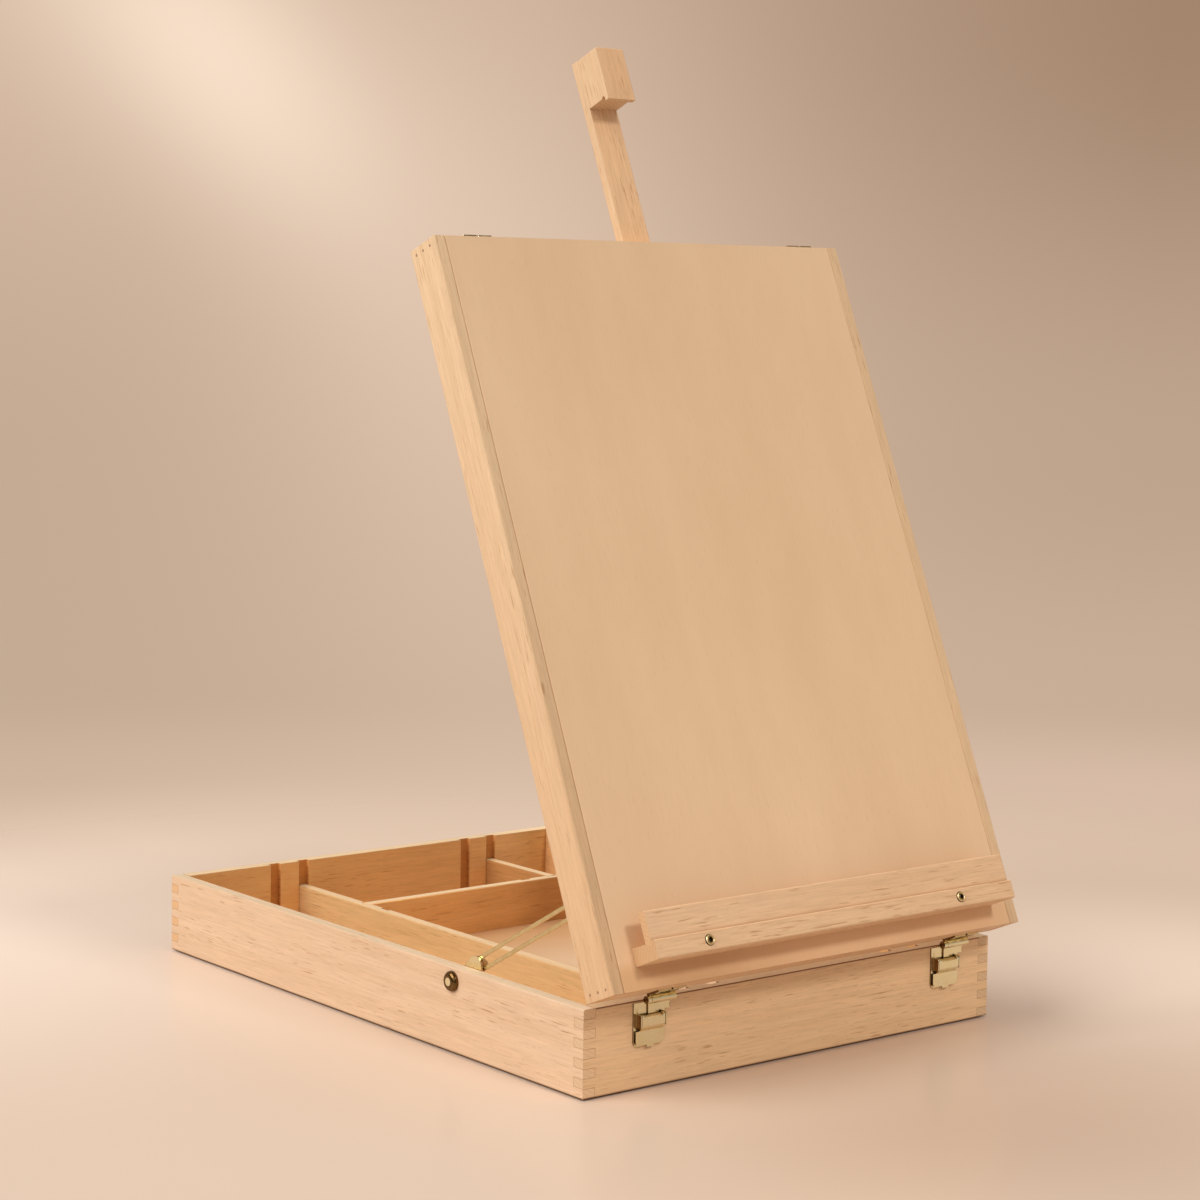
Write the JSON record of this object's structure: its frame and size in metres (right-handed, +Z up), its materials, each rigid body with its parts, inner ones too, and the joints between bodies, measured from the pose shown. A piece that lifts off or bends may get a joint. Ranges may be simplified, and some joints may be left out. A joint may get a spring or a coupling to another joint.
{
  "type": "table box easel",
  "caption": "Shallow wooden artist's box with a divided tray, whose hinged lid leans back on slotted brass stays as an easel with a ledge and a sliding mast.",
  "frame": {"origin": "centre of the box's underside, on the table", "axes": "+X to the right along the front board, +Y from the front board to the back, +Z up; the lid stands open, as in the picture"},
  "size_m": [0.3064, 0.4773, 0.56],
  "materials": {
    "beech": "fine sanded, thin clear lacquer",
    "beech_panel": "veneered plywood, thin clear lacquer",
    "plywood": "sanded plywood",
    "divider_beech": "fine sanded, thin clear lacquer",
    "brass": "bright plated",
    "dark_steel": "darkened",
    "zinc_steel": "zinc plated",
    "knob_plastic": "fine matt"
  },
  "bodies": {
    "base": {"base_front_board": "beech", "base_back_board": "beech", "base_left_board": "beech", "base_right_board": "beech", "base_bottom_panel": "plywood", "divider_long": "divider_beech", "divider_cross": "divider_beech", "divider_short": "divider_beech", "catch_plate_front_left": "brass", "catch_plate_front_right": "brass", "catch_plate_rear_left": "brass", "catch_plate_rear_right": "brass", "catch_pins": "brass", "catch_screws": "brass", "stay_anchor_left": "brass", "stay_anchor_right": "brass", "anchor_bolts": "brass", "stay_studs": "brass"},
    "lid": {"lid_left_board": "beech", "lid_right_board": "beech", "lid_top_rail": "beech", "lid_bottom_rail": "beech", "lid_panel": "beech_panel", "hinge_leaf_left": "brass", "hinge_leaf_right": "brass", "strike_leaf_left": "brass", "strike_leaf_right": "brass", "leaf_screws": "brass", "stay_bosses": "brass", "mast_rail_left": "beech", "mast_rail_right": "beech", "mast_bed": "beech", "clamp_bridge": "beech", "clamp_bush": "brass", "ledge_block": "beech", "ledge_lip": "beech", "ledge_screws": "dark_steel", "ledge_cups": "brass", "ledge_tnuts": "zinc_steel", "lid_nails": "dark_steel"},
    "mast": {"mast_bar": "beech", "mast_block": "beech", "mast_stop_pin": "beech"},
    "clamp": {"clamp_knob": "knob_plastic", "clamp_screw": "zinc_steel"},
    "lever_front_left": {"catch_lever_front_left": "brass"},
    "hook_front_left": {"catch_hook_front_left": "brass"},
    "lever_front_right": {"catch_lever_front_right": "brass"},
    "hook_front_right": {"catch_hook_front_right": "brass"},
    "lever_rear_left": {"catch_lever_rear_left": "brass"},
    "hook_rear_left": {"catch_hook_rear_left": "brass"},
    "lever_rear_right": {"catch_lever_rear_right": "brass"},
    "hook_rear_right": {"catch_hook_rear_right": "brass"},
    "stay_shoe_left_body": {"stay_shoe_left": "brass"},
    "stay_left": {"stay_bar_left": "brass", "stay_rivet_left": "brass"},
    "stay_shoe_right_body": {"stay_shoe_right": "brass"},
    "stay_right": {"stay_bar_right": "brass", "stay_rivet_right": "brass"}
  },
  "joints": [
    {"name": "lid_hinge", "type": "hinge", "parent": "base", "child": "lid", "pos_m": [0, -0.2132, 0.0483], "axis": [1, 0, 0], "range_deg": [-67, 0]},
    {"name": "mast_slide", "type": "slide", "parent": "lid", "child": "mast", "axis": [0, 0.3907, 0.9205], "range_m": [-0.0874, 0.2055]},
    {"name": "clamp_turn", "type": "hinge", "parent": "lid", "child": "clamp", "pos_m": [0, -0.08184, 0.35777], "axis": [0, -0.9205, 0.3907], "range_deg": [0, 180]},
    {"name": "lever_front_left_lift", "type": "hinge", "parent": "base", "child": "lever_front_left", "pos_m": [-0.1067, -0.2134, 0.0394], "axis": [-1, 0, 0], "range_deg": [0, 100]},
    {"name": "hook_front_left_swing", "type": "hinge", "parent": "base", "child": "hook_front_left", "pos_m": [-0.1067, -0.21205, 0.034], "axis": [-1, 0, 0], "range_deg": [-20, 0]},
    {"name": "lever_front_right_lift", "type": "hinge", "parent": "base", "child": "lever_front_right", "pos_m": [0.1133, -0.2134, 0.0394], "axis": [-1, 0, 0], "range_deg": [0, 100]},
    {"name": "hook_front_right_swing", "type": "hinge", "parent": "base", "child": "hook_front_right", "pos_m": [0.1133, -0.21205, 0.034], "axis": [-1, 0, 0], "range_deg": [-20, 0]},
    {"name": "lever_rear_left_lift", "type": "hinge", "parent": "base", "child": "lever_rear_left", "pos_m": [-0.1132, 0.2134, 0.0351], "axis": [1, 0, 0], "range_deg": [-100, 0]},
    {"name": "hook_rear_left_swing", "type": "hinge", "parent": "base", "child": "hook_rear_left", "pos_m": [-0.1132, 0.21205, 0.0297], "axis": [1, 0, 0], "range_deg": [0, 20]},
    {"name": "lever_rear_right_lift", "type": "hinge", "parent": "base", "child": "lever_rear_right", "pos_m": [0.1268, 0.2134, 0.0351], "axis": [1, 0, 0], "range_deg": [-100, 0]},
    {"name": "hook_rear_right_swing", "type": "hinge", "parent": "base", "child": "hook_rear_right", "pos_m": [0.1268, 0.21205, 0.0297], "axis": [1, 0, 0], "range_deg": [0, 20]},
    {"name": "stay_swivel_left", "type": "hinge", "parent": "base", "child": "stay_shoe_left_body", "pos_m": [-0.1389, -0.104, 0.0495], "axis": [1, 0, 0], "range_deg": [0, 17.7]},
    {"name": "stay_slide_left", "type": "slide", "parent": "stay_shoe_left_body", "child": "stay_left", "axis": [0, 0.8744, -0.4852], "range_m": [0, 0.0581]},
    {"name": "stay_swivel_right", "type": "hinge", "parent": "base", "child": "stay_shoe_right_body", "pos_m": [0.1389, -0.104, 0.0495], "axis": [1, 0, 0], "range_deg": [0, 17.7]},
    {"name": "stay_slide_right", "type": "slide", "parent": "stay_shoe_right_body", "child": "stay_right", "axis": [0, 0.8744, -0.4852], "range_m": [0, 0.0581]}
  ],
  "couplings": [
    {"joint": "hook_front_left_swing", "follows": "lever_front_left_lift", "ratio": -0.1},
    {"joint": "hook_front_right_swing", "follows": "lever_front_right_lift", "ratio": -0.1},
    {"joint": "hook_rear_left_swing", "follows": "lever_rear_left_lift", "ratio": -0.1},
    {"joint": "hook_rear_right_swing", "follows": "lever_rear_right_lift", "ratio": -0.1},
    {"joint": "stay_swivel_left", "follows": "lid_hinge", "ratio": -0.26319},
    {"joint": "stay_slide_left", "follows": "lid_hinge", "m_per_rad": -0.049596},
    {"joint": "stay_swivel_right", "follows": "lid_hinge", "ratio": -0.26319},
    {"joint": "stay_slide_right", "follows": "lid_hinge", "m_per_rad": -0.049596}
  ]
}
